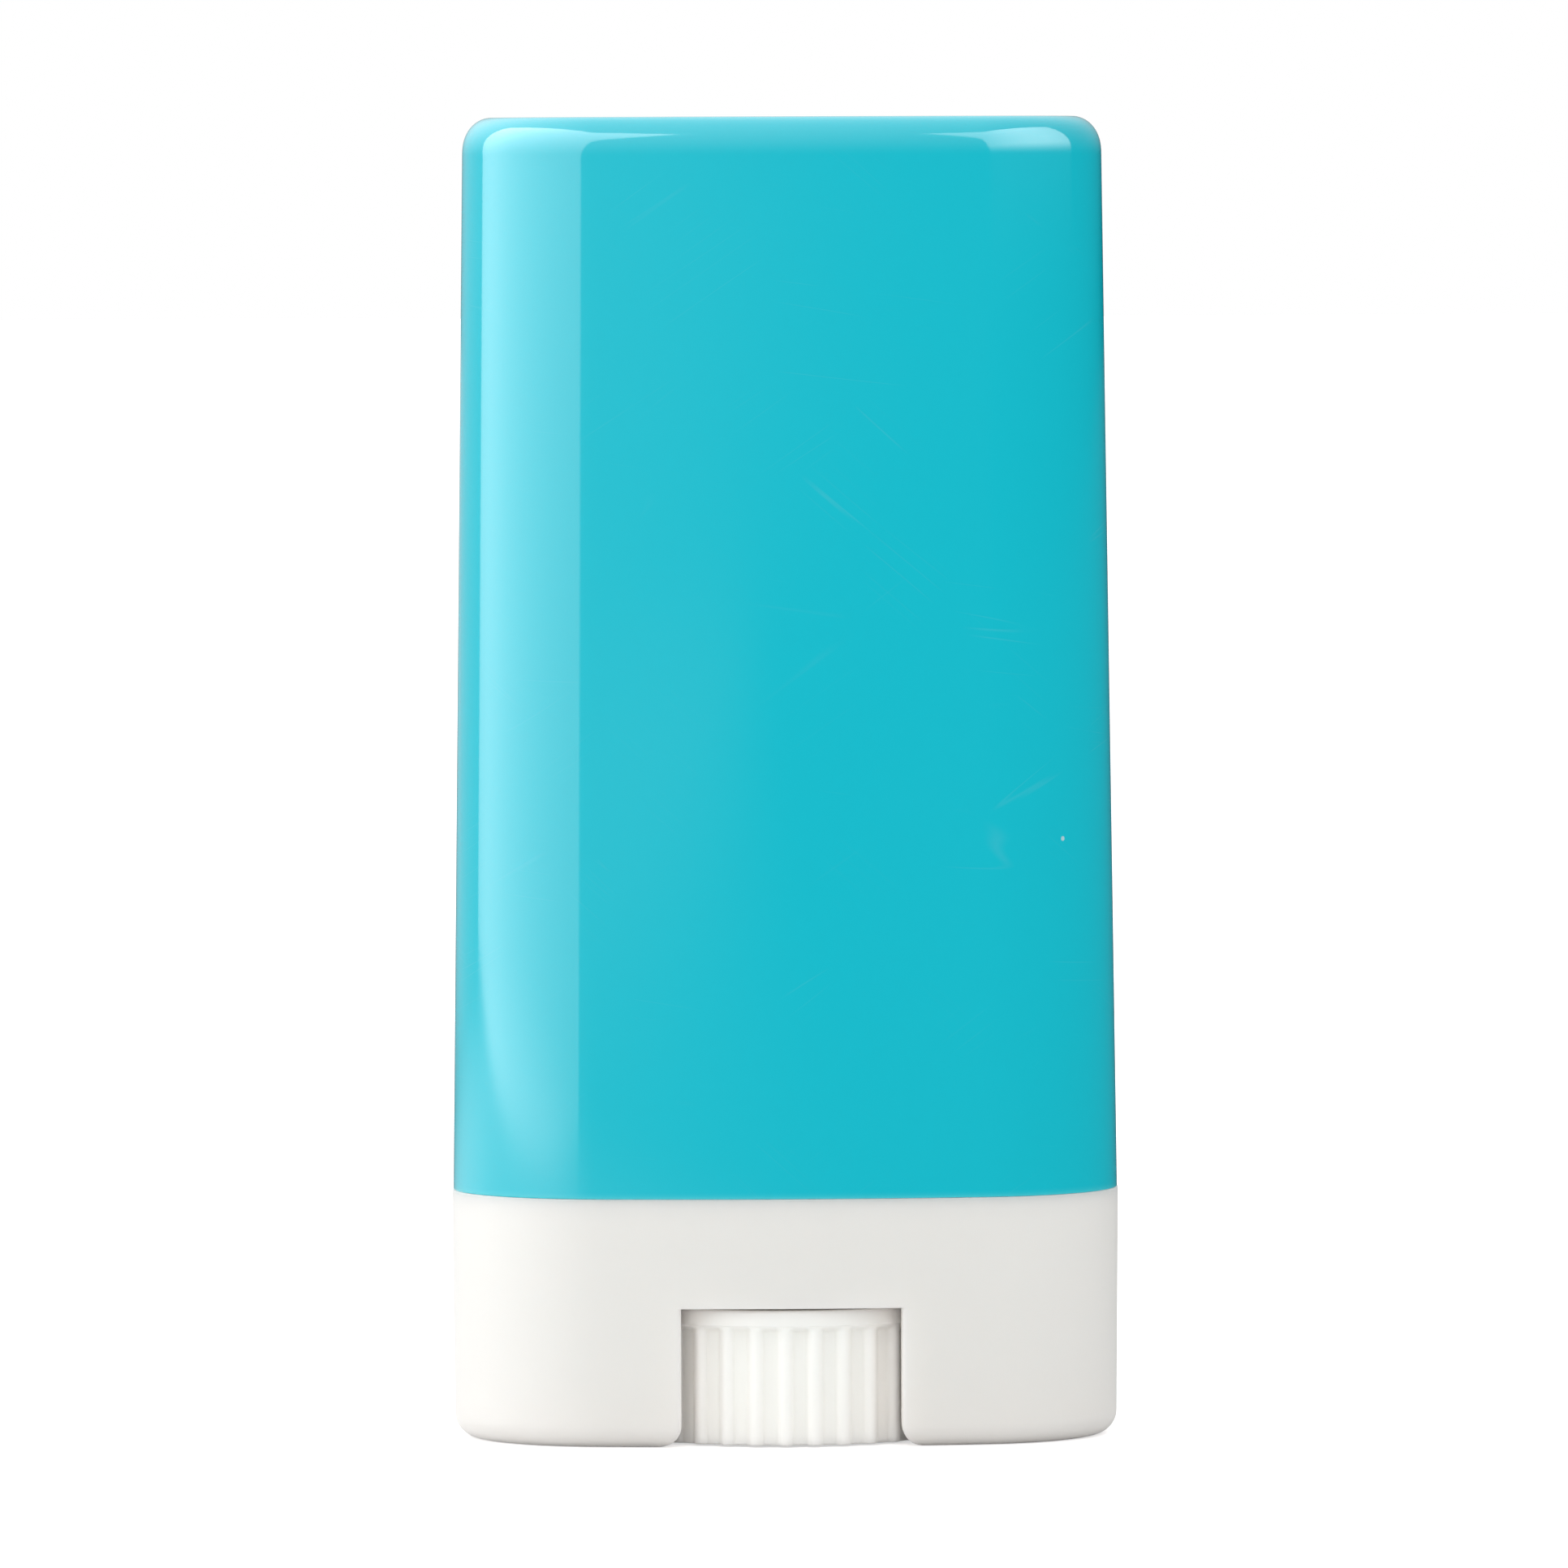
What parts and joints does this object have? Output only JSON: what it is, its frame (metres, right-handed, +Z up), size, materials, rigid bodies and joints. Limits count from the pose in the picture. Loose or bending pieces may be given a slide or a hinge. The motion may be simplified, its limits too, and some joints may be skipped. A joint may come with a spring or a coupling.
{
  "type": "twist-up sunscreen stick",
  "caption": "Upright oval twist-up sunscreen stick: glossy pull-off cap over a white barrel, with a ribbed thumb dial in the base that winds a crowned bar up.",
  "frame": {"origin": "centre of the foot, on the plane that the stick stands on", "axes": "+Z up along the stick, -Y towards the front face, +X to the right seen from the front"},
  "size_m": [0.0352, 0.0182, 0.0698],
  "materials": {
    "cap_gloss": "glossy cyan moulded polypropylene",
    "barrel_satin": "satin white moulded polypropylene",
    "dial_satin": "satin white moulded polypropylene",
    "carrier_matte": "plain white moulded polyethylene",
    "bar_wax": "smooth off-white wax"
  },
  "bodies": {
    "barrel": {"barrel": "barrel_satin"},
    "dial": {"dial_screw": "dial_satin"},
    "elevator": {"carrier": "carrier_matte", "sunscreen_bar": "bar_wax"},
    "cap": {"cap": "cap_gloss"}
  },
  "joints": [
    {"name": "dial_turn", "type": "hinge", "parent": "barrel", "child": "dial", "pos_m": [0, 0, 0.0085], "axis": [0, 0, 1], "range_deg": [0, 4320]},
    {"name": "carrier_lift", "type": "slide", "parent": "barrel", "child": "elevator", "axis": [0, 0, 1], "range_m": [0, 0.036]},
    {"name": "cap_pull", "type": "slide", "parent": "elevator", "child": "cap", "axis": [0, 0, 1], "range_m": [0, 0.06]}
  ],
  "couplings": [
    {"joint": "dial_turn", "follows": "carrier_lift", "rad_per_m": 2094.4}
  ]
}
